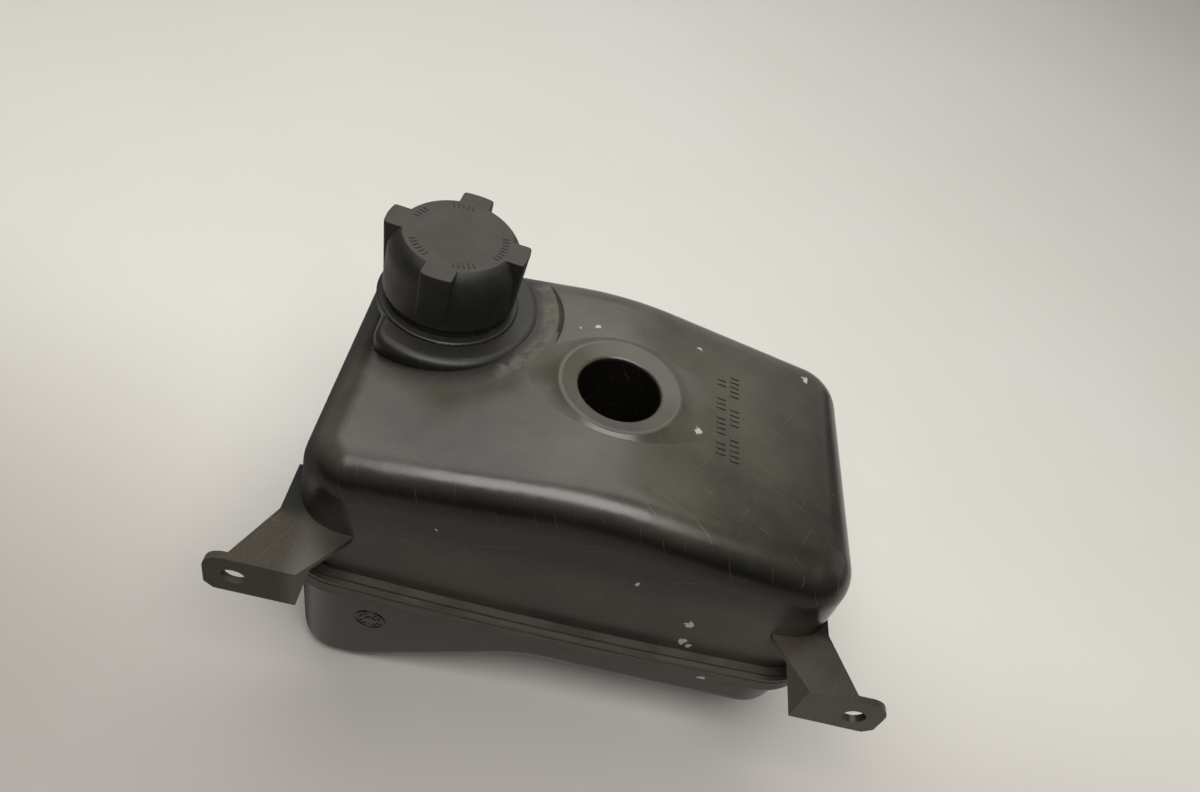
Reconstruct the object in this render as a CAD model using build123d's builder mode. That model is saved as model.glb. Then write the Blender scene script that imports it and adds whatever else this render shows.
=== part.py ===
from build123d import *
import os
from math import radians, tan

# A coolant expansion tank: two moulded shells welded at a lip, with a screw cap that
# carries the pressure and vacuum valves. Millimetres. The origin lies midway between the
# two bracket slots, on the brackets' front face. X runs to the right, Y to the back, Z up
# along the filler neck.

# Plan of the tank's walls at the weld
half_width = 127.0
front_wall = 22.0
front_bow = 3.0
back_left = 186.0
back_right = 177.0
front_corner = 25.0
back_left_corner = 26.0
back_right_corner = 26.0
wall = 3.0

# Upper shell
weld_z = -19.0
upper_draft = 1.5
ridge_z = 70.0
roof_angle = 8.5
roof_fall = 1.0
ridge_radius = 180.0
top_round = 19.5

# Weld lip
lip_reach = 6.0
lip_upper = 2.0
lip_step = 2.2
lip_rib = 1.6
lip_lower = 8.0
groove_depth = 1.2
groove_height = 1.0

# Lower shell: a deep well on the left that ramps up to a shallow tub
tub_side = 125.0
tub_front = 19.0
tub_back_step = 2.0
tub_draft = 2.5
well_z = -97.0
well_x = -88.0
tub_z = -52.0
tub_x = -8.0
tub_fall = 4.0
well_round = 30.0
ramp_round = 45.0
bottom_round = 9.0

# Filler neck and its pad
neck_inset = 41.0
neck_setback = 48.5
pad_z = 62.0
pad_radius = 46.0
pad_round = 4.5
pad_corner = 10.0
moat_radius = 55.0
moat_depth = 0.8
moat_slope = 1.0
pad_setback = 14.0
neck_bore = 18.5
neck_wall = 4.0
collar_radius = 30.0
collar_height = 5.8
step_radius = 34.2
step_height = 1.5
step_round = 1.2
seal_thick = 3.0

# Tunnel through the tank
tunnel_x = 3.0
tunnel_y = 101.0
tunnel_bore = 19.5
tunnel_wall = 2.5
tunnel_rim_z = 68.8
tunnel_rim_reach = 9.5
tunnel_funnel = 3.2
tunnel_skirt_reach = 17.0
tunnel_skirt_fall = 6.6
tunnel_skirt_hollow = 1.2
tunnel_round = 2.2

# Mounting brackets, placed from the side walls and the front wall
slot_outset = 13.0
slot_length = 10.8
slot_width = 10.0
flange_inset = 13.5
flange_margin = 13.0
flange_top = 12.8
flange_bottom = -12.0
flange_thick = 3.5
flange_round = 9.0
flange_corner = 4.0
plate_thick = 3.0
plate_root_inset = 30.2
plate_root_step = 1.3
plate_reach_left = 17.5
plate_reach_right = 11.5
plate_rake = 14.0
plate_back_y = 30.5
ledge_end_y = 56.0
gusset_left = 8.0
gusset_right = 18.0
gusset_thick = 3.0

# Hose spigots on the back
outlet_inset = 41.0
outlet_z = -68.0
outlet_radius = 9.5
outlet_bore = 7.5
outlet_length = 28.0
bleed_x = 62.0
bleed_z = 22.0
bleed_radius = 4.0
bleed_bore = 2.4
bleed_length = 20.0
spigot_lead = 1.0
collar_reach = 3.0
collar_rise = 2.0

# Screw cap
cap_top_z = 100.3
cap_gap = 0.8
cap_top_radius = 25.5
cap_base_radius = 32.0
cap_lean = 0.6
cap_shoulder = 12.0
cap_turn = -5.2
lug_reach = 2.0
lug_lean = 2.2
lug_width = 15.0
lug_count = 4
lug_round = 1.5
cap_top_thick = 3.5
cap_thread_gap = 2.0
cap_edge = 0.8
cap_skirt = 4.0
cap_mouth_depth = 11.0
snap_depth = 1.4
snap_height = 1.2

# Valve cartridge held in the cap
play = 0.3
cover_thick = 2.0
flange_disc_thick = 2.5
cartridge_radius = 15.0
cartridge_wall = 2.0
cartridge_floor = 2.0
cartridge_drop = 18.0
seat_radius = 8.0
seat_width = 1.5
seat_height = 0.6
seat_overlap = 1.0
vent_radius = 0.8
vent_count = 4
plate_gap = 1.5
valve_plate_thick = 2.0
valve_seal_thick = 2.0
valve_seal_width = 4.0
vacuum_disc_radius = 5.4
vacuum_disc_thick = 1.5
vacuum_hole = 2.2
vacuum_stem = 1.5
vacuum_lift = 6.5
clip_radius = 4.2
clip_thick = 1.0
stem_tip = 1.0
pressure_wire = 0.8
pressure_coil = 9.3
pressure_turns = 4
vacuum_wire = 0.35
vacuum_coil = 2.9
vacuum_turns = 5
spring_play = 0.1

# Heights and lengths worked out from the sizes above
reach = 2 * (ridge_z - weld_z)
span = 4 * half_width
neck_x = neck_inset - half_width
neck_y = back_left - neck_setback
outlet_x = outlet_inset - half_width
slot_x = half_width + slot_outset
flange_inner = half_width - flange_inset
flange_outer = slot_x + flange_margin
plate_root_x = half_width - plate_root_inset
plate_root_y = front_wall + plate_root_step
lug_radius = cap_base_radius + lug_reach
tunnel_rim = tunnel_bore + tunnel_rim_reach
tunnel_throat_z = tunnel_rim_z - tunnel_funnel
tunnel_skirt = tunnel_rim + tunnel_skirt_reach
tunnel_skirt_z = tunnel_rim_z - tunnel_skirt_fall
cap_base_z = pad_z + collar_height + cap_gap
cap_height = cap_top_z - cap_base_z
cap_shoulder_radius = cap_base_radius - cap_lean
cap_mouth_radius = cap_base_radius - cap_skirt
cover_top = cap_top_z - cap_top_thick - play
cover_bottom = cover_top - cover_thick
disc_bottom = cover_bottom - flange_disc_thick
neck_top = disc_bottom - seal_thick
neck_outer = neck_bore + neck_wall
thread_bore = neck_outer + cap_thread_gap
snap_top = disc_bottom - play
snap_bore = thread_bore - snap_depth - snap_depth
chamber_bore = thread_bore - snap_depth
disc_radius = chamber_bore - play
seat_floor = disc_bottom - cartridge_drop
seat_top = seat_floor + cartridge_floor + seat_height
valve_plate_bottom = seat_top + valve_seal_thick
valve_plate_top = valve_plate_bottom + valve_plate_thick
cartridge_bore = cartridge_radius - cartridge_wall
valve_plate_radius = cartridge_bore - plate_gap
valve_seal_radius = seat_radius + seat_width + seat_overlap
clip_bottom = valve_plate_top + vacuum_lift
gusset_plane = Plane(
    (flange_inner, 0, flange_top),
    x_dir=(plate_root_x - flange_inner, plate_root_y, 0),
    z_dir=(plate_root_y, flange_inner - plate_root_x, 0),
)
neck_axis = Axis((neck_x, neck_y, 0), (0, 0, 1))
neck_plane = Plane((neck_x, neck_y, 0), x_dir=(1, 0, 0), z_dir=(0, -1, 0))
tunnel_axis = Axis((tunnel_x, tunnel_y, 0), (0, 0, 1))
tunnel_plane = Plane((tunnel_x, tunnel_y, 0), x_dir=(1, 0, 0), z_dir=(0, -1, 0))
up = (Align.CENTER, Align.CENTER, Align.MIN)
down = (Align.CENTER, Align.CENTER, Align.MAX)


def plan(side, front, back_step, grow):
    """Outline of the tank seen from above at the weld, grown outwards by grow."""
    left_back = (-side, back_left - back_step)
    right_back = (side, back_right - back_step)
    with BuildSketch(Plane.XY.offset(weld_z)) as outline:
        with BuildLine():
            bow = ThreePointArc((-side, front + front_bow), (0, front), (side, front + front_bow))
            Polyline(bow @ 1, right_back, left_back, bow @ 0)
        make_face()
        fillet(outline.vertices().sort_by(Axis.Y)[:2], front_corner)
        fillet(outline.vertices().sort_by_distance((*left_back, 0))[0], back_left_corner)
        fillet(outline.vertices().sort_by_distance((*right_back, 0))[0], back_right_corner)
        if grow != 0:
            offset(amount=grow)
    return outline.sketch


def wall_plan(grow):
    """Outline of the upper shell's walls."""
    return plan(half_width, front_wall, 0, grow)


def tub_plan(grow):
    """Outline of the lower shell's walls, under the lip."""
    return plan(tub_side, tub_front, tub_back_step, grow)


def rim_of(faces):
    """Edges round a group of neighbouring faces, without the edges that they share."""
    edges = ShapeList(edge for face in faces for edge in face.edges())
    return ShapeList(e for e in edges if sum(e.is_same(other) for other in edges) == 1)


def upper_block(inset):
    """The upper shell as a solid: its outside, or with the wall as inset its cavity."""
    with BuildPart() as block:
        extrude(wall_plan(-inset), amount=reach, taper=upper_draft)
        eave_z = ridge_z - span * tan(radians(roof_angle))
        roof_plane = Plane((0, front_wall, -inset), x_dir=(1, 0, 0), z_dir=(0, -1, 0))
        with BuildSketch(roof_plane.rotated((-roof_fall, 0, 0))):
            with BuildLine():
                roof = FilletPolyline((-span, eave_z), (0, ridge_z), (span, eave_z), radius=ridge_radius)
                Polyline(roof @ 1, (span, -reach), (-span, -reach), roof @ 0)
            make_face()
        extrude(amount=span, both=True, mode=Mode.INTERSECT)
        fillet(rim_of(block.faces().filter_by(lambda f: f.normal_at().Z > 0.9)), top_round - inset)
        with Locations((neck_x, neck_y, pad_z - moat_depth - inset)):
            brim = moat_radius + inset
            Cone(brim, brim + moat_slope * reach, reach, align=up, mode=Mode.SUBTRACT)
        if inset > 0:
            with Locations((tunnel_x, tunnel_y, weld_z)):
                Cylinder(tunnel_bore + tunnel_wall, span, mode=Mode.SUBTRACT)
    return block.part


def neck_pad(inset):
    """The pad under the filler neck: round, but straight along the tank's two outer walls."""
    with BuildPart() as pad:
        extrude(wall_plan(-inset - pad_setback), amount=pad_z - weld_z - inset)
        with Locations((neck_x, neck_y, pad_z)):
            Cylinder(pad_radius - inset, reach, mode=Mode.INTERSECT)
        corners = pad.edges().filter_by(Axis.Z)
        side = corners.sort_by_distance((-half_width, neck_y - pad_radius, pad_z))[0]
        back = corners.sort_by_distance((neck_x + pad_radius, back_left, pad_z))[0]
        fillet([side, back], pad_corner - inset)
        with Locations((neck_x, neck_y, pad_z - top_round - wall)):
            Cylinder(moat_radius, reach, align=down, mode=Mode.SUBTRACT)
        if inset == 0:
            fillet(pad.faces().sort_by(Axis.Z)[-1].edges(), pad_round)
    return pad.part


def tunnel_mouth():
    """The rim round the tunnel's top, which sweeps down to the roof in a hollow curve."""
    middle = ((tunnel_rim + tunnel_skirt) / 2, (tunnel_rim_z + tunnel_skirt_z) / 2 - tunnel_skirt_hollow)
    with BuildPart() as mouth:
        with BuildSketch(tunnel_plane):
            with BuildLine():
                skirt = ThreePointArc((tunnel_rim, tunnel_rim_z), middle, (tunnel_skirt, tunnel_skirt_z))
                Polyline(
                    skirt @ 1,
                    (tunnel_skirt, tunnel_skirt_z - wall),
                    (tunnel_bore, tunnel_skirt_z - wall),
                    (tunnel_bore, tunnel_throat_z),
                    skirt @ 0,
                )
            make_face()
        revolve(axis=tunnel_axis)
        rings = mouth.edges().filter_by(GeomType.CIRCLE)
        rim = rings.sort_by_distance((tunnel_x + tunnel_rim, tunnel_y, tunnel_rim_z))[0]
        throat = rings.sort_by_distance((tunnel_x + tunnel_bore, tunnel_y, tunnel_throat_z))[0]
        fillet([rim, throat], tunnel_round)
    return mouth.part


def lower_block(inset):
    """The lower shell as a solid: its outside, or with the wall as inset its cavity."""
    with BuildPart() as block:
        extrude(tub_plan(-inset), amount=-reach, taper=tub_draft)
        with BuildSketch(Plane.XZ):
            with BuildLine():
                floor = FilletPolyline(
                    (-span, well_z + inset),
                    (well_x, well_z + inset),
                    (tub_x, tub_z + inset),
                    (tub_side, tub_z - tub_fall + inset),
                    (span, tub_z - tub_fall + inset),
                    radius=[well_round, ramp_round, ramp_round],
                )
                Polyline(floor @ 1, (span, reach), (-span, reach), floor @ 0)
            make_face()
        extrude(amount=span, both=True, mode=Mode.INTERSECT)
        fillet(rim_of(block.faces().filter_by(lambda f: f.normal_at().Z < -0.7)), bottom_round - inset)
        if inset > 0:
            with Locations((tunnel_x, tunnel_y, weld_z)):
                Cylinder(tunnel_bore + tunnel_wall, span, mode=Mode.SUBTRACT)
    return block.part


def back_y(x):
    """Y of the back wall at the weld, at a given X."""
    return back_left + (back_right - back_left) * (x + half_width) / (2 * half_width)


def spigot(x, z, radius, bore, length):
    """A hose spigot on the back wall, with a flat collar at its root, and the hole through it."""
    root = back_y(x) - wall - radius
    with BuildPart() as stem:
        with Locations((x, root, z)):
            Cylinder(radius, back_y(x) + length - root, rotation=(-90, 0, 0), align=up)
        chamfer(stem.faces().sort_by(Axis.Y)[-1].edges(), spigot_lead)
        with Locations((x, root, z)):
            Cylinder(radius + collar_reach, back_y(x) + collar_rise - root, rotation=(-90, 0, 0), align=up)
    with BuildPart() as hole:
        with Locations((x, root, z)):
            Cylinder(bore, 2 * length + radius, rotation=(-90, 0, 0), align=up)
    return stem.part, hole.part


def bracket_block(plate_reach, gusset_length):
    """A mounting bracket on the right: a flat plate, a slotted front flange and a gusset."""
    plate_outer = half_width + plate_reach
    with BuildPart() as bracket:
        with BuildSketch(Plane.XY.offset(flange_top - plate_thick)):
            with BuildLine():
                Polyline(
                    (flange_inner, 0),
                    (plate_outer, 0),
                    (plate_outer - plate_rake, plate_back_y),
                    (plate_outer - plate_rake, ledge_end_y),
                    (half_width - wall, ledge_end_y),
                    (plate_root_x, plate_root_y + wall + front_bow),
                    (plate_root_x, plate_root_y),
                    close=True,
                )
            make_face()
        extrude(amount=plate_thick)
        with BuildSketch(Plane.XZ) as flange:
            with BuildLine():
                Polyline(
                    (flange_inner, flange_bottom),
                    (flange_outer, flange_bottom),
                    (flange_outer, flange_top),
                    (flange_inner, flange_top),
                    close=True,
                )
            make_face()
            chamfer(flange.vertices().sort_by_distance((flange_outer, flange_bottom, 0))[0], flange_corner)
            fillet(flange.vertices().sort_by_distance((flange_outer, flange_top, 0))[0], flange_round)
            with Locations((slot_x, 0)):
                SlotOverall(slot_length, slot_width, mode=Mode.SUBTRACT)
        extrude(amount=-flange_thick)
        with BuildSketch(gusset_plane):
            with BuildLine():
                Polyline((0, 0), (gusset_length, 0), (0, flange_bottom - flange_top), close=True)
            make_face()
        extrude(amount=gusset_thick)
    return bracket.part


# The solids that the two shells are put together from
upper_outside = upper_block(0)
upper_cavity = upper_block(wall)
pad_outside = neck_pad(0)
pad_cavity = neck_pad(wall)
tunnel_top = tunnel_mouth()
lower_outside = lower_block(0)
lower_cavity = lower_block(wall)
right_bracket = bracket_block(plate_reach_right, gusset_right)
left_bracket = bracket_block(plate_reach_left, gusset_left)
bleed_stem, bleed_hole = spigot(bleed_x, bleed_z, bleed_radius, bleed_bore, bleed_length)
outlet_stem, outlet_hole = spigot(outlet_x, outlet_z, outlet_radius, outlet_bore, outlet_length)

# Upper shell, with the neck, the upper half of the tunnel, the brackets and the bleed spigot
with BuildPart() as upper_shell:
    add(upper_outside)
    add(pad_outside)
    extrude(wall_plan(lip_reach), amount=lip_upper)
    extrude(wall_plan(lip_reach - lip_step), amount=lip_upper + lip_rib)
    add(right_bracket)
    mirror(left_bracket, about=Plane.YZ)
    add(bleed_stem)
    with Locations((tunnel_x, tunnel_y, weld_z)):
        Cylinder(tunnel_rim, reach, align=up, mode=Mode.SUBTRACT)
        Cylinder(tunnel_rim, tunnel_skirt_z - weld_z, align=up)
    add(tunnel_top)
    add(upper_cavity, mode=Mode.SUBTRACT)
    add(pad_cavity, mode=Mode.SUBTRACT)
    with Locations((tunnel_x, tunnel_y, weld_z)):
        Cylinder(tunnel_bore, tunnel_skirt_z - weld_z, align=up, mode=Mode.SUBTRACT)
    with Locations((neck_x, neck_y, pad_z - wall)):
        Cylinder(step_radius, step_height + wall, align=up)
    rings = upper_shell.edges().filter_by(GeomType.CIRCLE)
    step_edge = rings.sort_by_distance((neck_x + step_radius, neck_y, pad_z + step_height))[0]
    fillet(step_edge, step_round)
    with Locations((neck_x, neck_y, pad_z - wall)):
        Cylinder(collar_radius, collar_height + wall, align=up)
        Cylinder(neck_outer, neck_top - pad_z + wall, align=up)
        Cylinder(neck_bore, neck_top, align=up, mode=Mode.SUBTRACT)
    add(bleed_hole, mode=Mode.SUBTRACT)

# Lower shell, with the lip, the lower half of the tunnel and the outlet spigot
with BuildPart() as lower_shell:
    add(lower_outside)
    extrude(wall_plan(lip_reach - groove_depth), amount=-lip_lower)
    extrude(wall_plan(lip_reach).moved(Location((0, 0, -groove_height))), amount=groove_height - lip_lower)
    add(outlet_stem)
    add(lower_cavity, mode=Mode.SUBTRACT)
    with Locations((tunnel_x, tunnel_y, weld_z)):
        Cylinder(tunnel_bore, reach, align=down, mode=Mode.SUBTRACT)
    add(outlet_hole, mode=Mode.SUBTRACT)


def grip_lugs():
    """The cap's lugs, whose outer faces lean in towards the base."""
    with BuildPart() as grips:
        with BuildSketch(Plane((neck_x, neck_y, cap_base_z))):
            with PolarLocations(0, lug_count, start_angle=cap_turn):
                Rectangle(lug_radius + lug_width, lug_width, align=(Align.MIN, Align.CENTER))
        extrude(amount=cap_height)
        with BuildSketch(neck_plane):
            with BuildLine():
                Polyline(
                    (0, cap_base_z),
                    (lug_radius - lug_lean, cap_base_z),
                    (lug_radius, cap_top_z),
                    (0, cap_top_z),
                    close=True,
                )
            make_face()
        revolve(axis=neck_axis, mode=Mode.INTERSECT)
        outer = grips.faces().filter_by(GeomType.CONE)
        fillet(outer.edges().filter_by(lambda e: abs(e.tangent_at(0.5).Z) > 0.5), lug_round)
    return grips.part


cap_lugs = grip_lugs()

# Screw cap: a domed drum with four grip lugs, hollow inside, with a lip that the cartridge snaps over
with BuildPart() as cap:
    with BuildSketch(neck_plane):
        with BuildLine():
            skirt = Line((cap_base_radius, cap_base_z), (cap_shoulder_radius, cap_top_z - cap_shoulder))
            dome = TangentArc(skirt @ 1, (cap_top_radius, cap_top_z), tangent=skirt % 1)
            Polyline(dome @ 1, (0, cap_top_z), (0, cap_base_z), skirt @ 0)
        make_face()
    revolve(axis=neck_axis)
    add(cap_lugs)
    fillet(cap.faces().sort_by(Axis.Z)[-1].edges(), cap_edge)
    fillet(cap.faces().sort_by(Axis.Z)[0].edges(), cap_edge)
    with BuildSketch(neck_plane):
        with BuildLine():
            Polyline(
                (0, cap_base_z),
                (cap_mouth_radius, cap_base_z),
                (thread_bore, cap_base_z + cap_mouth_depth),
                (thread_bore, snap_top - snap_height),
                (snap_bore, snap_top - snap_height),
                (snap_bore, snap_top),
                (chamber_bore, snap_top),
                (chamber_bore, cover_top + play),
                (0, cover_top + play),
                close=True,
            )
        make_face()
    revolve(axis=neck_axis, mode=Mode.SUBTRACT)

# Valve housing: a cup with a flange, a raised seat in its floor and vents through the flange
with BuildPart() as valve_housing:
    with BuildSketch(neck_plane):
        with BuildLine():
            Polyline(
                (seat_radius, seat_floor),
                (cartridge_radius, seat_floor),
                (cartridge_radius, disc_bottom),
                (disc_radius, disc_bottom),
                (disc_radius, cover_bottom),
                (cartridge_bore, cover_bottom),
                (cartridge_bore, seat_floor + cartridge_floor),
                (seat_radius + seat_width, seat_floor + cartridge_floor),
                (seat_radius + seat_width, seat_top),
                (seat_radius, seat_top),
                close=True,
            )
        make_face()
    revolve(axis=neck_axis)
    with Locations((neck_x, neck_y, (disc_bottom + cover_bottom) / 2)):
        with PolarLocations(0, vent_count):
            Cylinder(vent_radius, disc_radius, rotation=(0, 90, 0), align=up, mode=Mode.SUBTRACT)

# Cover on the housing, which holds the pressure spring down
with BuildPart() as valve_cover:
    with Locations((neck_x, neck_y, cover_bottom)):
        Cylinder(disc_radius, cover_thick, align=up)

# Rubber ring between the cartridge's flange and the neck
with BuildPart() as neck_seal:
    with Locations((neck_x, neck_y, neck_top)):
        Cylinder(snap_bore - play, seal_thick, align=up)
        Cylinder(cartridge_radius + play, seal_thick, align=up, mode=Mode.SUBTRACT)

# Pressure valve: a plate with a rubber ring under it, pressed on the seat by a coil spring
with BuildPart() as pressure_plate:
    with Locations((neck_x, neck_y, valve_plate_bottom)):
        Cylinder(valve_plate_radius, valve_plate_thick, align=up)
        Cylinder(vacuum_hole, valve_plate_thick, align=up, mode=Mode.SUBTRACT)

with BuildPart() as pressure_seal:
    with Locations((neck_x, neck_y, seat_top)):
        Cylinder(valve_seal_radius, valve_seal_thick, align=up)
        Cylinder(valve_seal_radius - valve_seal_width, valve_seal_thick, align=up, mode=Mode.SUBTRACT)


def coil(radius, wire, bottom, top, turns):
    """A coil spring on the neck's axis that stands between two heights."""
    height = top - bottom - 2 * (wire + spring_play)
    start = (neck_x, neck_y, bottom + wire + spring_play)
    with BuildPart() as spring:
        with BuildLine():
            path = Helix(height / turns, height, radius, center=start)
        with BuildSketch(Plane(path @ 0, z_dir=path % 0)):
            Circle(wire)
        sweep(is_frenet=True)
    return spring.part


pressure_coils = coil(pressure_coil, pressure_wire, valve_plate_top, cover_bottom, pressure_turns)
vacuum_coils = coil(vacuum_coil, vacuum_wire, valve_plate_top, clip_bottom, vacuum_turns)

with BuildPart() as pressure_spring:
    add(pressure_coils)

# Vacuum valve: a disc under the plate on a stem, held shut by a small spring under a clip
with BuildPart() as vacuum_valve:
    with Locations((neck_x, neck_y, valve_plate_bottom)):
        Cylinder(vacuum_disc_radius, vacuum_disc_thick, align=down)
        Cylinder(vacuum_stem, clip_bottom + clip_thick + stem_tip - valve_plate_bottom, align=up)

with BuildPart() as vacuum_spring:
    add(vacuum_coils)

with BuildPart() as vacuum_clip:
    with Locations((neck_x, neck_y, clip_bottom)):
        Cylinder(clip_radius, clip_thick, align=up)
        Cylinder(vacuum_stem, clip_thick, align=up, mode=Mode.SUBTRACT)

pieces = {
    "upper_shell": upper_shell,
    "lower_shell": lower_shell,
    "cap": cap,
    "valve_housing": valve_housing,
    "valve_cover": valve_cover,
    "neck_seal": neck_seal,
    "pressure_plate": pressure_plate,
    "pressure_seal": pressure_seal,
    "pressure_spring": pressure_spring,
    "vacuum_valve": vacuum_valve,
    "vacuum_spring": vacuum_spring,
    "vacuum_clip": vacuum_clip,
}
os.makedirs("parts", exist_ok=True)
for name, piece in pieces.items():
    piece.part.label = name
    export_step(piece.part, f"parts/{name}.step")
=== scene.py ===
# %% [markdown]
# # A coolant expansion tank
# The tank is two black plastic shells, welded together at a lip, with a screw cap on top. The packed
# model gives every solid at its true size and place. This file dresses it: it adds the small moulded
# shapes, gives each material its finish, and sets up the floor, the lights and the camera.

# %% Load the solids
import math
import bpy
from mathutils import Matrix, Vector


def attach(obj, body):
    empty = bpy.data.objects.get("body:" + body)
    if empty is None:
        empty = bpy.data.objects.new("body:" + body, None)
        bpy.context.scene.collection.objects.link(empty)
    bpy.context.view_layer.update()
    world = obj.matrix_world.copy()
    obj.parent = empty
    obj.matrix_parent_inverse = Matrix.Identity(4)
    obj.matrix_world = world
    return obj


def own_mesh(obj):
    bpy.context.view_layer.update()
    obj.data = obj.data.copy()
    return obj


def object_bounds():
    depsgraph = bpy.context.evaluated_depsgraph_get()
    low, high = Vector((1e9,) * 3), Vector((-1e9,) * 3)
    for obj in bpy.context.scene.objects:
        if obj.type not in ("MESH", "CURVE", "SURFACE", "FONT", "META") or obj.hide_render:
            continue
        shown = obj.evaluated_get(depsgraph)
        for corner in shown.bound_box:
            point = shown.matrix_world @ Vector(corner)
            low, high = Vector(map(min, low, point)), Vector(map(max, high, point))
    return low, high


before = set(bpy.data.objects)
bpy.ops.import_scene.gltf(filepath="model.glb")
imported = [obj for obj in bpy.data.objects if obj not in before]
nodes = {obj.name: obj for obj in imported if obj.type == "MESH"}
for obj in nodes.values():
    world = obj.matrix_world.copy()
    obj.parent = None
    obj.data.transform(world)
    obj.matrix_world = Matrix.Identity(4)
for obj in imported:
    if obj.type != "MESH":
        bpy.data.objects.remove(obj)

MM = 0.001
NECK = Vector((-86 * MM, 137.5 * MM, 0))  # where the axis of the neck and the cap stands

cad_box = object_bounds()
print("solids:", sorted(nodes))

# %% [markdown]
# Colours are easiest to read as the hex values that a paint program shows. Blender's shaders work in
# linear light, so one function turns the first into the second. Another adds a shader node with its
# settings and its links in one line, which keeps a material readable from top to bottom.

# %% Colour and node helpers
def linear(hex_colour):
    """An sRGB hex colour as linear red, green, blue and alpha, by the sRGB standard's curve."""
    parts = [int(hex_colour[i:i + 2], 16) / 255 for i in (1, 3, 5)]
    return [c / 12.92 if c <= 0.04045 else ((c + 0.055) / 1.055) ** 2.4 for c in parts] + [1.0]


def add_node(tree, kind, settings=None, inputs=None):
    """Adds a node. An input that is another node's socket is linked, and any other value is set."""
    made = tree.nodes.new(kind)
    for name, value in (settings or {}).items():
        setattr(made, name, value)
    for name, value in (inputs or {}).items():
        if isinstance(value, bpy.types.NodeSocket):
            tree.links.new(value, made.inputs[name])
        else:
            made.inputs[name].default_value = value
    return made


def new_material(name):
    """An empty material and its node tree."""
    material = bpy.data.materials.new(name)
    material.use_nodes = True
    material.node_tree.nodes.clear()
    return material, material.node_tree


def surface(tree, inputs):
    """Gives a material its one shader, with these inputs."""
    shader = add_node(tree, "ShaderNodeBsdfPrincipled", inputs=inputs)
    add_node(tree, "ShaderNodeOutputMaterial", inputs={"Surface": shader.outputs[0]})


def wear(obj, material):
    """Gives an object one material all over."""
    obj.data.materials.clear()
    obj.data.materials.append(material)


# %% [markdown]
# Dust, scuffs and scratches are masks: numbers from 0 to 1 that say how much of a second colour
# shows. They are all made from noise or from a place on the tank, so a few small helpers make them. A
# pattern's size is given in millimetres, as it would be measured on the plastic.

# %% Mask helpers
SKIN_DEPTH_MM = 0.1


def rise(tree, value, zero_at, one_at):
    """A soft step in a value, from 0 to 1. It falls instead where one_at is the smaller."""
    ramp = add_node(tree, "ShaderNodeMapRange", {"interpolation_type": "SMOOTHSTEP"}, {
        "Value": value, "From Min": zero_at, "From Max": one_at})
    return ramp.outputs["Result"]


def rise_mm(tree, length, zero_mm, one_mm):
    """The same soft step along a length, between two places in millimetres."""
    return rise(tree, length, zero_mm * MM, one_mm * MM)


def patches(tree, place, size_mm, start, full):
    """Cloudy patches of about this size: 0 where the noise is under start, 1 where it is over full."""
    noise = add_node(tree, "ShaderNodeTexNoise", inputs={
        "Vector": place, "Scale": 1 / (size_mm * MM), "Detail": 5.0, "Roughness": 0.6})
    return rise(tree, noise.outputs["Fac"], start, full)


def chained(tree, operation, masks):
    """Masks and plain factors, taken together one after another by a math operation."""
    result = masks[0]
    for mask in masks[1:]:
        result = add_node(tree, "ShaderNodeMath", {"operation": operation}, {
            0: result, 1: mask}).outputs[0]
    return result


def all_of(tree, *masks):
    """A mask that shows only where all of these do: their product."""
    return chained(tree, "MULTIPLY", masks)


def any_of(tree, *masks):
    """A mask that shows where any of these does: the greatest of them."""
    return chained(tree, "MAXIMUM", masks)


def spread(tree, mask, low, high):
    """A value that goes from low to high as a mask goes from 0 to 1."""
    return add_node(tree, "ShaderNodeMapRange", inputs={
        "Value": mask, "To Min": low, "To Max": high}).outputs["Result"]


def cover(tree, under, over, mask):
    """A colour or socket laid over another where a mask is 1."""
    mix = add_node(tree, "ShaderNodeMix", {"data_type": "RGBA"}, {
        "Factor": mask, 6: under, 7: over})
    return mix.outputs[2]


def mould_skin(tree, place, size_mm, detail, strength):
    """The normal of a mould's fine skin, with bumps of about this size."""
    bumps = add_node(tree, "ShaderNodeTexNoise", inputs={
        "Vector": place, "Scale": 1 / (size_mm * MM), "Detail": detail})
    skin = add_node(tree, "ShaderNodeBump", inputs={
        "Height": bumps.outputs["Fac"], "Strength": strength, "Distance": SKIN_DEPTH_MM * MM})
    return skin.outputs[0]


# %% [markdown]
# The shells are moulded polypropylene, coloured black with carbon. A used one is half glossy, with
# cloudy patches where hands and cloths have polished it, a thin film of road dust on what faces up,
# and fine scratches. The dust is what makes the top look grey; it thins towards the right of the roof,
# which is painted shade. The shape of the tank says where dirt gathers, so the masks read the surface's
# own place and the way it faces.

# %% Tank plastic: where things are
tank_plastic, tree = new_material("moulded_black_polypropylene")
coords = add_node(tree, "ShaderNodeTexCoord")
place = coords.outputs["Object"]
xyz = add_node(tree, "ShaderNodeSeparateXYZ", inputs={"Vector": place})
facing = add_node(tree, "ShaderNodeSeparateXYZ", inputs={"Vector": coords.outputs["Normal"]})
across, depth, height = xyz.outputs["X"], xyz.outputs["Y"], xyz.outputs["Z"]
faces_up = facing.outputs["Z"]
out_wide = add_node(tree, "ShaderNodeMath", {"operation": "ABSOLUTE"}, {0: across}).outputs[0]
flat_place = add_node(tree, "ShaderNodeCombineXYZ", inputs={"X": across, "Y": depth})
from_neck = add_node(tree, "ShaderNodeVectorMath", {"operation": "DISTANCE"}, {
    0: flat_place.outputs[0], 1: NECK}).outputs["Value"]
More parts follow.
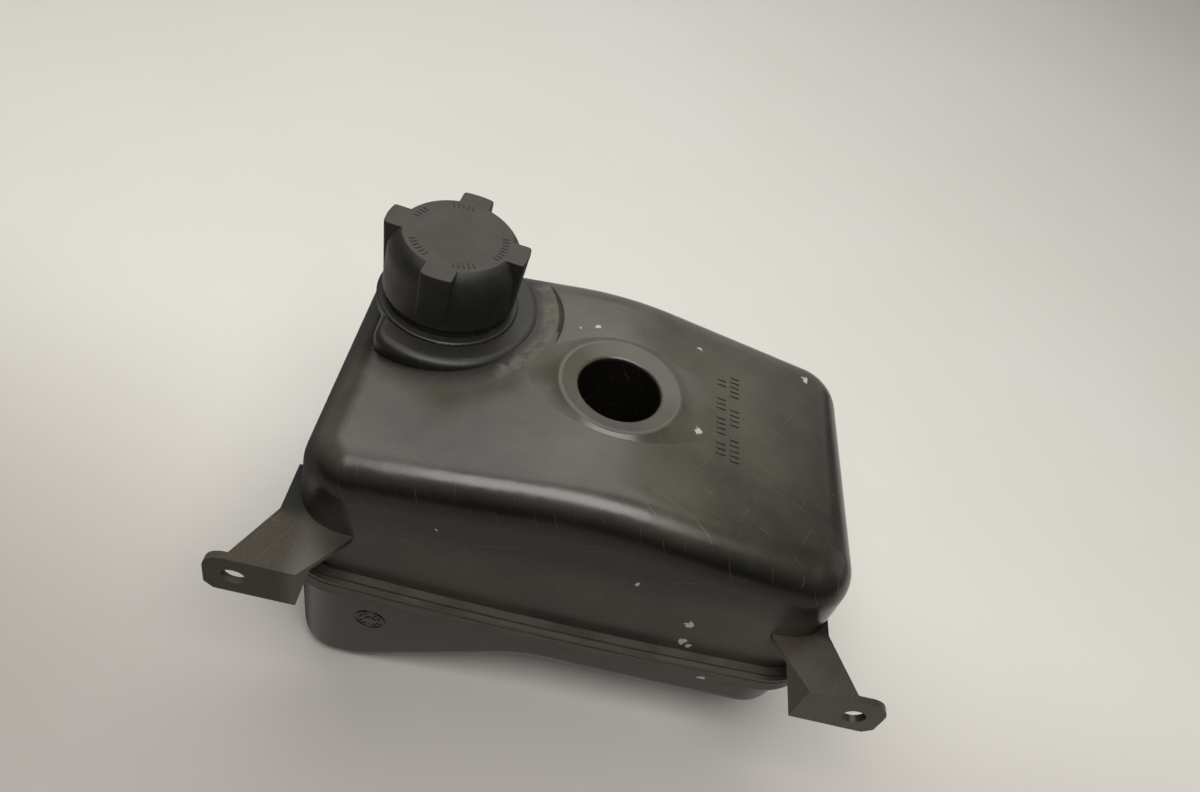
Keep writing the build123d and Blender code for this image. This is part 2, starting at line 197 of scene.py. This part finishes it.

# %% [markdown]
# Each mask has its spans: the places in millimetres where it is 0 and where it is full. A span named UP
# says how far a face must look up, from -1 to 1. A pattern is a patch size in millimetres, with the
# noise at which a patch starts and is full.

# %% Tank plastic: dust on what faces up, thinned to the right as painted shade
CLOUDS, DUST_PATTERN, GRIT = (55, 0.3, 0.75), (80, 0.05, 0.85), (1.6, 0.52, 0.68)
DUST_UP, DUST_HEIGHT, DUST_SHADE_ACROSS = (0.45, 0.97), (20, 40), (170, 50)
WIPED_OUT_TO, DUSTY_FROM, DUST_LEFT = 46, 58, 0.15

clouds = patches(tree, place, *CLOUDS)
grit = patches(tree, place, *GRIT)
wiped = add_node(tree, "ShaderNodeMapRange", inputs={
    "Value": from_neck, "From Min": WIPED_OUT_TO * MM, "From Max": DUSTY_FROM * MM,
    "To Min": DUST_LEFT})
# Painted shade: the dust film thins from the left to the right of the roof, so the right, which slopes
# away from the light, is painted darker.
dust_and_shade = all_of(tree, rise(tree, faces_up, *DUST_UP), rise_mm(tree, height, *DUST_HEIGHT),
              rise_mm(tree, across, *DUST_SHADE_ACROSS), wiped.outputs["Result"],
              patches(tree, place, *DUST_PATTERN))

# %% [markdown]
# Dirt gathers in four more places. The brackets stand out in the spray from the road, so they are dusty
# all over, the left one more. It also lies in the dished ring round the pad and in the corner under the
# cap. And the weld squeezed out fine ridges that run along the lip, to which dust clings. Such dirt could
# be painted by hand on an unwrapped mesh, but spans follow the shape and need no picture.

# %% Tank plastic: dirt on the brackets
BRACKET_OUT, BRACKET_DEPTH, BRACKET_LEFT = (100, 112), (34, 24), (155, -60)
BRACKET_BASE, BRACKET_TOP = (-13, -11.5), (15, 13)
bracket_dirt = all_of(tree, rise_mm(tree, out_wide, *BRACKET_OUT), rise_mm(tree, depth, *BRACKET_DEPTH),
                      rise_mm(tree, height, *BRACKET_BASE), rise_mm(tree, height, *BRACKET_TOP),
                      rise_mm(tree, across, *BRACKET_LEFT))

# %% Tank plastic: dirt round the neck
RING_INSIDE, RING_OUTSIDE, RING_HEIGHT = (45, 49), (57, 53), (60.2, 60.9)
RING_PATTERN = (5, 0.36, 0.62)
CORNER_OUTSIDE, CORNER_HEIGHT = (36, 31), (60, 61)
ring_dirt = all_of(tree, rise_mm(tree, from_neck, *RING_INSIDE),
                   rise_mm(tree, from_neck, *RING_OUTSIDE),
                   rise_mm(tree, height, *RING_HEIGHT), patches(tree, place, *RING_PATTERN))
cap_dirt = all_of(tree, rise_mm(tree, from_neck, *CORNER_OUTSIDE),
                  rise_mm(tree, height, *CORNER_HEIGHT), grit)

# %% Tank plastic: dirt on the weld lip
RIDGE_STRETCH, RIDGE_PATTERN = (0.04, 0.04, 1.0), (0.9, 0.35, 0.6)
LIP_TOP, LIP_BASE, LIP_UP = (-14.9, -15.4), (-28, -27), (-0.6, -0.2)
drawn_out = add_node(tree, "ShaderNodeMapping", inputs={"Vector": place, "Scale": RIDGE_STRETCH})
ridges = patches(tree, drawn_out.outputs[0], *RIDGE_PATTERN)
lip_dirt = all_of(tree, rise_mm(tree, height, *LIP_TOP), rise_mm(tree, height, *LIP_BASE),
                  rise(tree, faces_up, *LIP_UP))
print("nodes for dust and dirt:", len(tree.nodes))

# %% [markdown]
# A painted reflection: the upper shell's front wall is painted a light brown below its top, and more of
# it on the right, for the pale floor that the wall mirrors there. The left side faced the engine, whose
# heat has dulled it, and spilt coolant has dulled the pad. Dulled plastic keeps its colour and only
# mirrors less, so these two masks change the roughness alone.

# %% Tank plastic: painted reflection, heat and stains
REFLECTION_DEPTH, REFLECTION_ACROSS, REFLECTION_PATTERN = (32, 26), (-260, 100), (60, 0.1, 0.7)
REFLECTION_TOP, REFLECTION_BASE = (36, 18), (-34, -20)
# Painted reflection: the front wall is painted lighter and browner low down and on the right, where it
# mirrors the pale floor.
painted_floor_reflection = all_of(tree, rise_mm(tree, depth, *REFLECTION_DEPTH), rise_mm(tree, across, *REFLECTION_ACROSS),
              rise_mm(tree, height, *REFLECTION_TOP), rise_mm(tree, height, *REFLECTION_BASE),
              patches(tree, place, *REFLECTION_PATTERN))

HEAT_ACROSS, STAIN_OUTSIDE, STAIN_HEIGHT = (-112, -124), (62, 54), (50, 56)
dulled = rise_mm(tree, across, *HEAT_ACROSS)
stained = all_of(tree, rise_mm(tree, from_neck, *STAIN_OUTSIDE), rise_mm(tree, height, *STAIN_HEIGHT))

# %% [markdown]
# Scratches are long and hair thin. A wave pattern gives lines at an even spacing; its distortion makes
# them wander, and only their very crests are kept. A second mask then breaks them into short strokes,
# so no pattern shows. Two sets cross each other, as real scratches do.

# %% Tank plastic: scratches
SCRATCH_SPACING_MM = 7.0
WAVES_PER_SCALE = 3.2
SCRATCH_LEAN, SCRATCH_TURNS = 0.3, (0.5, -1.1)
SCRATCH_CREST, STROKE_PATTERN = (0.9985, 0.9999), (13, 0.5, 0.62)
strokes = []
for turn in SCRATCH_TURNS:
    turned = add_node(tree, "ShaderNodeMapping", inputs={
        "Vector": place, "Rotation": (SCRATCH_LEAN, turn, turn)})
    lines = add_node(tree, "ShaderNodeTexWave", inputs={
        "Vector": turned.outputs[0], "Scale": 1 / (SCRATCH_SPACING_MM * MM) / WAVES_PER_SCALE,
        "Distortion": 0.6, "Detail": 1.0, "Detail Scale": 0.2})
    strokes.append(all_of(tree, rise(tree, lines.outputs["Fac"], *SCRATCH_CREST),
                          patches(tree, turned.outputs[0], *STROKE_PATTERN)))
scratches = any_of(tree, *strokes)
print("sets of scratches:", len(strokes))

# %% [markdown]
# A scuff is a place where the skin was knocked: pale, with a ragged edge. Each one is a small ball in
# space, and the balls are warped with noise so that none of them comes out round.

# %% Tank plastic: scuffs
SCUFFS_MM = [
    ((-11.8, 139.9, 65.3), 1.6), ((-20.4, 136.7, 64.5), 0.8), ((42.0, 89.2, 62.5), 2.2),
    ((102.5, 155.6, 52.3), 2.0), ((28.1, 24.1, 28.4), 1.5), ((59.3, 23.8, 6.7), 2.6),
    ((60.1, 23.1, -7.8), 2.4), ((75.3, 17.2, -26.7), 2.2), ((41.9, 147.3, 61.2), 1.2),
    ((64.0, 23.4, -10.5), 1.7), ((-62.0, 24.6, 33.0), 0.9), ((96.0, 26.0, 30.0), 0.9),
]
WARP_SIZE_MM, WARP_REACH_MM, SCUFF_CORE = 2.2, 5, 0.7
warp = add_node(tree, "ShaderNodeTexNoise", inputs={
    "Vector": place, "Scale": 1 / (WARP_SIZE_MM * MM), "Detail": 3.0})
centred = add_node(tree, "ShaderNodeVectorMath", {"operation": "SUBTRACT"}, {
    0: warp.outputs["Color"], 1: (0.5, 0.5, 0.5)})
ragged = add_node(tree, "ShaderNodeVectorMath", {"operation": "MULTIPLY_ADD"}, {
    0: centred.outputs[0], 1: [WARP_REACH_MM * MM] * 3, 2: place})
balls = []
for centre, radius in SCUFFS_MM:
    away = add_node(tree, "ShaderNodeVectorMath", {"operation": "DISTANCE"}, {
        0: ragged.outputs[0], 1: Vector(centre) * MM})
    balls.append(rise_mm(tree, away.outputs["Value"], radius, SCUFF_CORE * radius))
scuffs = any_of(tree, *balls)
print("scuffs:", len(balls))

# %% [markdown]
# Now the layers go on, from the plastic up: its own black, the dust film, whose thinning to the right
# is painted shade, the painted reflection on the front wall, the dirt, and the bare pale scuffs last.
# Dust is matt, so it also raises the roughness where it lies. The mould's skin is a faint orange peel,
# about 1.5 mm from bump to bump.

# %% Tank plastic: the finish
LAYERS = (
    (dust_and_shade, "#837d6c", 0.36), (painted_floor_reflection, "#7d7260", 0.19), (bracket_dirt, "#7d7462", 0.16),
    (all_of(tree, bracket_dirt, grit), "#8a8370", 0.08), (ring_dirt, "#6e695c", 0.5),
    (cap_dirt, "#8a8576", 0.08), (lip_dirt, "#6f6b5c", 0.03),
    (all_of(tree, lip_dirt, ridges), "#8d8874", 0.09), (scratches, "#8f897b", 0.22),
    (scuffs, "#b9b4a8", 0.85),
)
MATT = (
    (dust_and_shade, 0.07), (bracket_dirt, 0.1), (ring_dirt, 0.3), (lip_dirt, 0.2), (painted_floor_reflection, 0.1), (dulled, 0.6),
    (stained, 0.22),
)
SHELL_ROUGHNESS, SHELL_IOR = (0.2, 0.27), 1.49
PEEL_MM, PEEL_DETAIL, PEEL_STRENGTH = 1.5, 2.0, 0.12
SCRATCH_DEPTH_MM, SCRATCH_STRENGTH = 0.05, 0.3

finish = cover(tree, linear("#100f0c"), linear("#191712"), clouds)
for mask, colour, strength in LAYERS:
    finish = cover(tree, finish, linear(colour), all_of(tree, mask, strength))
roughness = spread(tree, clouds, *SHELL_ROUGHNESS)
for mask, added in MATT:
    roughness = add_node(tree, "ShaderNodeMath", {"operation": "MULTIPLY_ADD"}, {
        0: mask, 1: added, 2: roughness}).outputs[0]
peel = mould_skin(tree, place, PEEL_MM, PEEL_DETAIL, PEEL_STRENGTH)
cut = add_node(tree, "ShaderNodeBump", {"invert": True}, {
    "Height": scratches, "Strength": SCRATCH_STRENGTH, "Distance": SCRATCH_DEPTH_MM * MM,
    "Normal": peel})
surface(tree, {
    "Base Color": finish, "Roughness": roughness, "IOR": SHELL_IOR, "Normal": cut.outputs[0]})
for name in ("upper_shell", "lower_shell"):
    wear(nodes[name], tank_plastic)
print("tank plastic nodes:", len(tree.nodes))

# %% [markdown]
# The cap is a harder plastic, filled with glass fibre, and its mould was finely blasted, so it is matt.
# Its top is painted a lighter grey than its sides: partly greyed by the sun, partly a painted stand-in
# for the light it catches from above. It is also dusty, while its sides stay nearly black.

# %% Cap plastic
TOP_UP, TOP_PAINTED_LIGHT = (0.5, 0.95), 0.5
CAP_CLOUDS, SPECKS, SPECKLED = (14, 0.35, 0.65), (0.9, 0.6, 0.7), 0.18
BLAST_MM, BLAST_DETAIL, BLAST_STRENGTH = 0.7, 3.0, 0.2
CAP_ROUGHNESS, CAP_IOR = (0.52, 0.64), 1.53

cap_plastic, tree = new_material("moulded_glass_filled_nylon")
coords = add_node(tree, "ShaderNodeTexCoord")
place = coords.outputs["Object"]
facing = add_node(tree, "ShaderNodeSeparateXYZ", inputs={"Vector": coords.outputs["Normal"]})
on_top = rise(tree, facing.outputs["Z"], *TOP_UP)
clouds = patches(tree, place, *CAP_CLOUDS)
specks = patches(tree, place, *SPECKS)
side = cover(tree, linear("#0c0b0a"), linear("#131210"), clouds)
# Painted light: the faces that look up are painted lighter, partly as greying in the sun.
painted_lighting_tone = cover(tree, side, linear("#443f33"), all_of(tree, on_top, TOP_PAINTED_LIGHT))
speckled = cover(tree, painted_lighting_tone, linear("#77726a"), all_of(tree, specks, SPECKLED))
surface(tree, {
    "Base Color": speckled, "Roughness": spread(tree, clouds, *CAP_ROUGHNESS), "IOR": CAP_IOR,
    "Normal": mould_skin(tree, place, BLAST_MM, BLAST_DETAIL, BLAST_STRENGTH)})
wear(nodes["cap"], cap_plastic)
print("cap plastic nodes:", len(tree.nodes))

# %% [markdown]
# The valve cartridge is hidden in the neck, and shows only when the cap is taken apart. It still gets
# true finishes: black acetal, soft black rubber, drawn spring wire and turned brass. Each has a fine
# grain of its own, so that none of them is one flat colour. The table gives a dark and a light colour,
# the roughness, how metallic it is, the grain's size in millimetres and the solids that wear it.

# %% Cartridge materials
CARTRIDGE = {
    "moulded_black_acetal": ("#191918", "#242322", 0.38, 0.0, 6.0,
                             ("valve_housing", "valve_cover", "pressure_plate")),
    "black_rubber": ("#0f0f0e", "#1c1b1a", 0.75, 0.0, 1.5, ("neck_seal", "pressure_seal")),
    "drawn_spring_steel": ("#8f8e8a", "#b7b5b0", 0.28, 1.0, 0.6, ("pressure_spring", "vacuum_spring")),
    "turned_brass": ("#a9853f", "#c9a55c", 0.3, 1.0, 0.8, ("vacuum_valve", "vacuum_clip")),
}
GRAIN_NOISE, ROUGHNESS_SWING = (0.3, 0.7), 0.06
for name, (dark, light, rough, metal, grain_mm, worn_by) in CARTRIDGE.items():
    material, tree = new_material(name)
    place = add_node(tree, "ShaderNodeTexCoord").outputs["Object"]
    grain = patches(tree, place, grain_mm, *GRAIN_NOISE)
    surface(tree, {
        "Base Color": cover(tree, linear(dark), linear(light), grain),
        "Roughness": spread(tree, grain, rough - ROUGHNESS_SWING, rough + ROUGHNESS_SWING),
        "Metallic": metal})
    for node in worn_by:
        wear(nodes[node], material)
print("cartridge materials:", list(CARTRIDGE))

# %% [markdown]
# A coil spring shortens when its valve opens: the end at the valve moves and the other end stays. Here
# each spring is only given a mesh of its own. The table gives the joint, the height of the fixed end,
# the spring's length and the joint's travel.

# %% Springs, each with a mesh of its own
SPRINGS_MM = {
    "pressure_spring": ("pressure_lift", 94.5, 13.9, 2.5),
    "vacuum_spring": ("vacuum_drop", 80.6, 6.5, 1.5),
}
for node, (joint, fixed_end, length, travel) in SPRINGS_MM.items():
    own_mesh(nodes[node])
print("springs:", list(SPRINGS_MM))

# %% [markdown]
# The mould also left small raised marks. They could be painted with a bump map, but then their edges
# would not catch the light, so they are real shapes. Each mark is modelled once, flat at the origin,
# and its copies are then stood on the tank: a ray finds the wall, and the wall's own normal turns them.

# %% Helpers for raised marks
UPWARD = 0.9
BEVEL_SEGMENTS = 2
SMOOTH_BELOW_DEG = 35


def select_top(obj, corners=3):
    """In edit mode, selects only the faces that point up and have at least so many corners."""
    bpy.ops.mesh.select_all(action="DESELECT")
    bpy.ops.object.mode_set(mode="OBJECT")
    for face in obj.data.polygons:
        face.select = face.normal.z > UPWARD and len(face.vertices) >= corners
    bpy.ops.object.mode_set(mode="EDIT")
    bpy.ops.mesh.select_mode(type="FACE")


def bevelled_block(name, size_mm, bevel_mm, raise_mm=0):
    """A block centred on the origin, with bevelled top edges. Its top can then be raised."""
    bpy.ops.object.select_all(action="DESELECT")
    bpy.ops.mesh.primitive_cube_add(size=1)
    block = bpy.context.object
    block.name = name
    bpy.ops.object.mode_set(mode="EDIT")
    bpy.ops.transform.resize(value=[s * MM for s in size_mm])
    select_top(block)
    bpy.ops.mesh.bevel(offset=bevel_mm * MM, segments=BEVEL_SEGMENTS, affect="EDGES")
    bpy.ops.transform.translate(value=(0, 0, raise_mm * MM))
    bpy.ops.object.mode_set(mode="OBJECT")
    return block


def met_by_ray(node, start_mm, way):
    """The spot where a ray first meets a solid, and the normal there."""
    return nodes[node].ray_cast(Vector(start_mm) * MM, Vector(way))[1:3]


def stood_on(spot, normal, along):
    """The matrix that stands a piece on a spot, with its Z on the normal and its X near along."""
    z_axis = Vector(normal).normalized()
    x_axis = (Vector(along) - z_axis * z_axis.dot(Vector(along))).normalized()
    turn = Matrix((x_axis, z_axis.cross(x_axis), z_axis)).transposed()
    return Matrix.Translation(Vector(spot)) @ turn.to_4x4()


def copy_at(pattern, matrix):
    """A copy of a pattern with a mesh of its own, moved there in its mesh."""
    copy = pattern.copy()
    copy.data = pattern.data.copy()
    bpy.context.collection.objects.link(copy)
    copy.data.transform(matrix)
    return copy


def joined(pieces, name):
    """The pieces as one object with this name."""
    bpy.ops.object.select_all(action="DESELECT")
    for piece in pieces:
        piece.select_set(True)
    bpy.context.view_layer.objects.active = pieces[0]
    bpy.ops.object.join()
    pieces[0].name = name
    return pieces[0]


def remove(pattern):
    """Takes a pattern away once its copies are made."""
    bpy.data.objects.remove(pattern, do_unlink=True)


def finished(piece, body, material):
    """Smooth-shades a piece, gives it its finish and lets it ride on its body."""
    bpy.ops.object.select_all(action="DESELECT")
    piece.select_set(True)
    bpy.context.view_layer.objects.active = piece
    bpy.ops.object.shade_smooth_by_angle(angle=math.radians(SMOOTH_BELOW_DEG))
    wear(piece, material)
    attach(piece, body)
    print(piece.name, "faces:", len(piece.data.polygons))


# %% [markdown]
# Two rows of plain raised bars stand on the right of the roof, where such tanks carry a moulded notice.
# One bar is a block whose top edges are bevelled. Each copy is dropped on the roof from above. A row is
# its place across the tank, where it starts and ends, and the steps that have no bar.

# %% Roof bars
BAR_MM, BAR_BEVEL_MM, BAR_STEP_MM = (4.6, 1.1, 1.0), 0.3, 3.3
BAR_ROWS = ((54.3, 81.0, 134.0, (3, 8, 12, 13)), (61.3, 79.0, 140.0, (5, 6, 11, 12)))
ABOVE_ROOF_MM = 120
bar = bevelled_block("roof_bar", BAR_MM, BAR_BEVEL_MM)
bars = []
for row_x, first_y, last_y, gaps in BAR_ROWS:
    for step in range(int((last_y - first_y) / BAR_STEP_MM)):
        if step not in gaps:
            above = (row_x, first_y + step * BAR_STEP_MM, ABOVE_ROOF_MM)
            spot, normal = met_by_ray("upper_shell", above, (0, 0, -1))
            bars.append(copy_at(bar, stood_on(spot, normal, (1, 0, 0))))
remove(bar)
finished(joined(bars, "roof_bars"), "tank", tank_plastic)

# %% [markdown]
# Moulders press a small dial into a mould to show when a part was made. Here it is left plain: a round
# plate with a raised rim, a sunk floor, twelve ticks and a bar on its hub. The rim and the floor come
# from one disc by inset and extrude, which keeps them one clean surface.

# %% Mould dial on the well's front wall
DIAL_RADIUS_MM, DIAL_DEPTH_MM, DIAL_CORNERS = 7.6, 0.9, 48
DIAL_INSETS_MM = ((0.7, -0.35), (4.2, 0.35))
DIAL_TICKS, DIAL_TICK_MM, DIAL_TICK_BEVEL_MM = 12, (1.9, 0.8, 0.5), 0.15
DIAL_TICK_AT_MM = Vector((5.1, 0, 0.2))
HAND_MM, HAND_BEVEL_MM, HAND_RAISE_MM = (5.2, 1.1, 0.8), 0.2, 0.4
BEFORE_DIAL_MM = (-84.5, -20, -49.5)

bpy.ops.object.select_all(action="DESELECT")
bpy.ops.mesh.primitive_cylinder_add(
    vertices=DIAL_CORNERS, radius=DIAL_RADIUS_MM * MM, depth=DIAL_DEPTH_MM * MM)
disc = bpy.context.object
bpy.ops.object.mode_set(mode="EDIT")
for inset_mm, push_mm in DIAL_INSETS_MM:
    select_top(disc, DIAL_CORNERS)
    bpy.ops.mesh.inset(thickness=inset_mm * MM)
    bpy.ops.mesh.extrude_region_move(TRANSFORM_OT_translate={"value": (0, 0, push_mm * MM)})
bpy.ops.object.mode_set(mode="OBJECT")

tick = bevelled_block("dial_tick", DIAL_TICK_MM, DIAL_TICK_BEVEL_MM)
dial_parts = [disc]
for step in range(DIAL_TICKS):
    turn = Matrix.Rotation(math.radians(360 / DIAL_TICKS * step), 4, "Z")
    dial_parts.append(copy_at(tick, turn @ Matrix.Translation(DIAL_TICK_AT_MM * MM)))
remove(tick)
dial_parts.append(bevelled_block("dial_hand", HAND_MM, HAND_BEVEL_MM, HAND_RAISE_MM))
dial = joined(dial_parts, "mould_dial")
spot, normal = met_by_ray("lower_shell", BEFORE_DIAL_MM, (0, 1, 0))
dial.data.transform(stood_on(spot, normal, (1, 0, 0)))
finished(dial, "tank", tank_plastic)

# %% [markdown]
# The cap's top has groups of raised marks round its edge. They are plain radial ticks here, the height
# of moulded letters, in five groups. A group is the angle of its first tick and the number of ticks.

# %% Cap ticks
CAP_TICK_MM, CAP_TICK_BEVEL_MM = (3.0, 0.75, 0.7), 0.2
CAP_TOP = 100.3 * MM
TICK_RADIUS = 22.0 * MM
TICK_GROUPS = ((-28, 8), (-84, 5), (-150, 6), (146, 4), (84, 5))
TICK_STEP_DEG = 6.0
tick = bevelled_block("cap_tick", CAP_TICK_MM, CAP_TICK_BEVEL_MM)
ticks = []
for first_deg, count in TICK_GROUPS:
    for step in range(count):
        angle = math.radians(first_deg + step * TICK_STEP_DEG)
        outward = Vector((math.cos(angle), math.sin(angle), 0))
        spot = NECK + outward * TICK_RADIUS + Vector((0, 0, CAP_TOP))
        ticks.append(copy_at(tick, stood_on(spot, (0, 0, 1), outward)))
remove(tick)
finished(joined(ticks, "cap_ticks"), "screw_cap", cap_plastic)

# %% [markdown]
# The cap screws down on a coarse thread. A thread is one small profile swept up a helix, which is what
# the Screw modifier does. The neck's ridge and the cap's ridge have the same 5 mm pitch and stand half
# a pitch apart, so they mesh, and stay meshed as the cap turns and rises.

# %% Threads of the neck and the cap
PITCH_MM = 5.0
RIDGE_FOOT_MM, CREST_SHARE = 2.4, 0.4
STEPS_PER_TURN = 72
MERGE_MM = 0.001


def thread(name, root, crest, base_mm, turns, start_deg):
    """A ridge on the neck's axis that winds up from base_mm, from its root radius to its crest."""
    middle = (root + crest) / 2
    bpy.ops.object.select_all(action="DESELECT")
    bpy.ops.mesh.primitive_plane_add(size=1)
    ridge = bpy.context.object
    bpy.ops.object.mode_set(mode="EDIT")
    bpy.ops.transform.resize(value=(abs(crest - root) * MM, RIDGE_FOOT_MM * MM, 1))
    bpy.ops.object.mode_set(mode="OBJECT")
    for corner in ridge.data.vertices:
        narrow = CREST_SHARE if (corner.co.x > 0) == (crest > root) else 1.0
        corner.co = (corner.co.x + middle * MM, 0, corner.co.y * narrow)
    bpy.ops.object.mode_set(mode="EDIT")
    bpy.ops.mesh.select_all(action="SELECT")
    bpy.ops.mesh.delete(type="ONLY_FACE")
    bpy.ops.object.mode_set(mode="OBJECT")
    screw = ridge.modifiers.new("screw", "SCREW")
    screw.axis = "Z"
    screw.angle = 2 * math.pi * turns
    screw.screw_offset = PITCH_MM * turns * MM
    screw.steps = int(STEPS_PER_TURN * turns)
    screw.render_steps = int(STEPS_PER_TURN * turns)
    bpy.ops.object.modifier_apply(modifier="screw")
    bpy.ops.object.mode_set(mode="EDIT")
    bpy.ops.mesh.select_all(action="SELECT")
    bpy.ops.mesh.remove_doubles(threshold=MERGE_MM * MM)
    bpy.ops.mesh.fill_holes(sides=0)
    bpy.ops.mesh.select_all(action="SELECT")
    bpy.ops.mesh.normals_make_consistent(inside=False)
    bpy.ops.object.mode_set(mode="OBJECT")
    ridge.name = name
    start = Matrix.Rotation(math.radians(start_deg), 4, "Z")
    ridge.data.transform(Matrix.Translation(NECK + Vector((0, 0, base_mm * MM))) @ start)
    return ridge


neck_thread = thread("neck_thread", root=22.4, crest=23.9, base_mm=71.0, turns=3, start_deg=0)
finished(neck_thread, "tank", tank_plastic)
cap_thread = thread("cap_thread", root=24.6, crest=23.1, base_mm=81.0, turns=1.5, start_deg=180)
finished(cap_thread, "screw_cap", cap_plastic)

# %% [markdown]
# The floor is pale grey board. It lies just under the tank and reaches far past the picture, so no edge
# of it shows there. Its front and left are painted darker: a painted shade, where the light falls off
# towards the tent's open front.

# %% Floor
FLOOR_SIZE, FLOOR_MIDDLE_Y, FLOOR_GAP = 6, 0.1, 0.2 * MM
FLOOR_PATTERN, FLOOR_ROUGHNESS = (400, 0.2, 0.8), 0.55
INWARD, SHADE_SPAN, SHADE_STRENGTH = (0.2, 0.98, 0), (0.12, -0.2), 0.64
bpy.ops.object.select_all(action="DESELECT")
floor_z = cad_box[0][2] - FLOOR_GAP
bpy.ops.mesh.primitive_plane_add(size=FLOOR_SIZE, location=(0, FLOOR_MIDDLE_Y, floor_z))
floor = bpy.context.object
floor.name = "floor"
floor_board, tree = new_material("pale_grey_board")
place = add_node(tree, "ShaderNodeTexCoord").outputs["Object"]
worn = patches(tree, place, *FLOOR_PATTERN)
inward = add_node(tree, "ShaderNodeVectorMath", {"operation": "DOT_PRODUCT"}, {0: place, 1: INWARD})
# Painted shade: the floor is painted darker towards the front and the left.
painted_lighting_tone = all_of(tree, rise(tree, inward.outputs["Value"], *SHADE_SPAN), SHADE_STRENGTH)
colour = cover(tree, linear("#d6d2c9"), linear("#dbd7cf"), worn)
colour = cover(tree, colour, linear("#7d766e"), painted_lighting_tone)
surface(tree, {"Base Color": colour, "Roughness": FLOOR_ROUGHNESS})
wear(floor, floor_board)
print("floor at", round(floor_z / MM, 1), "mm")

# %% [markdown]
# Black plastic shows its shape by what it mirrors, so the light matters more than the colour. The tank
# stands in a white tent that is open to a dark room at the front. Large soft lamps take the place of
# the tent's top, back and right side, a brighter one stands for the lamps over its front edge, and the
# weak world stands for the room. The table gives each lamp's place, the point that it faces, its width,
# its length and its brightness.

# %% Light
ROOM_STRENGTH = 0.07
LAMPS = {
    "tent_top": ((-0.3, 0.85, 1.35), (-0.25, 0.7, 0), 1.7, 1.5, 2.0),
    "tent_lamps": ((0.0, -0.48, 1.25), (0.0, 0.0, 0.05), 1.3, 0.56, 7.2),
    "tent_back": ((0.3, 2.6, 0.9), (0, 0.1, 0.1), 3.8, 1.8, 0.5),
    "tent_right": ((1.4, 0.5, 0.5), (0.1, 0.2, 0), 1.0, 0.9, 0.4),
}
world = bpy.data.worlds.new("room")
bpy.context.scene.world = world
world.use_nodes = True
room = world.node_tree.nodes["Background"]
room.inputs["Color"].default_value = linear("#e8ecf2")
room.inputs["Strength"].default_value = ROOM_STRENGTH


def softbox(name, place, aim, width, length, brightness):
    """A rectangular lamp that faces a point. Its brightness is its radiance, where 1 is white."""
    lamp = bpy.data.lights.new(name, "AREA")
    lamp.shape = "RECTANGLE"
    lamp.size = width
    lamp.size_y = length
    lamp.energy = brightness * math.pi * width * length
    lamp_object = bpy.data.objects.new(name, lamp)
    bpy.context.collection.objects.link(lamp_object)
    lamp_object.location = place
    lamp_object.rotation_euler = (Vector(aim) - Vector(place)).to_track_quat("-Z", "Y").to_euler()
    lamp_object.visible_camera = False


for name, settings in LAMPS.items():
    softbox(name, *settings)
print("lamps:", list(LAMPS))

# %% [markdown]
# The camera looks down on the tank from the front, about 0.4 m above the brackets and 0.2 m before
# them. Its place and its turn were solved from round and straight edges of known size, so they are
# given as they came out.

# %% Camera
SENSOR_MM, LENS_MM, CLIP_START = 36, 27.823, 0.01
CAMERA_AT = Vector((-0.0461, -0.2052, 0.3650))
CAMERA_RIGHT = Vector((0.9650, 0.1085, 0.2386))
CAMERA_UP = Vector((-0.2442, 0.7030, 0.6680))
camera_data = bpy.data.cameras.new("camera")
camera_data.sensor_width = SENSOR_MM
camera_data.lens = LENS_MM
camera_data.clip_start = CLIP_START
camera = bpy.data.objects.new("camera", camera_data)
bpy.context.collection.objects.link(camera)
back = CAMERA_RIGHT.cross(CAMERA_UP).normalized()
up = back.cross(CAMERA_RIGHT).normalized()
camera_turn = Matrix((CAMERA_RIGHT, up, back)).transposed()
camera.matrix_world = Matrix.Translation(CAMERA_AT) @ camera_turn.to_4x4()
bpy.context.scene.camera = camera
bpy.context.scene.view_settings.view_transform = "Standard"
print("camera at", [round(c / MM) for c in CAMERA_AT], "mm")
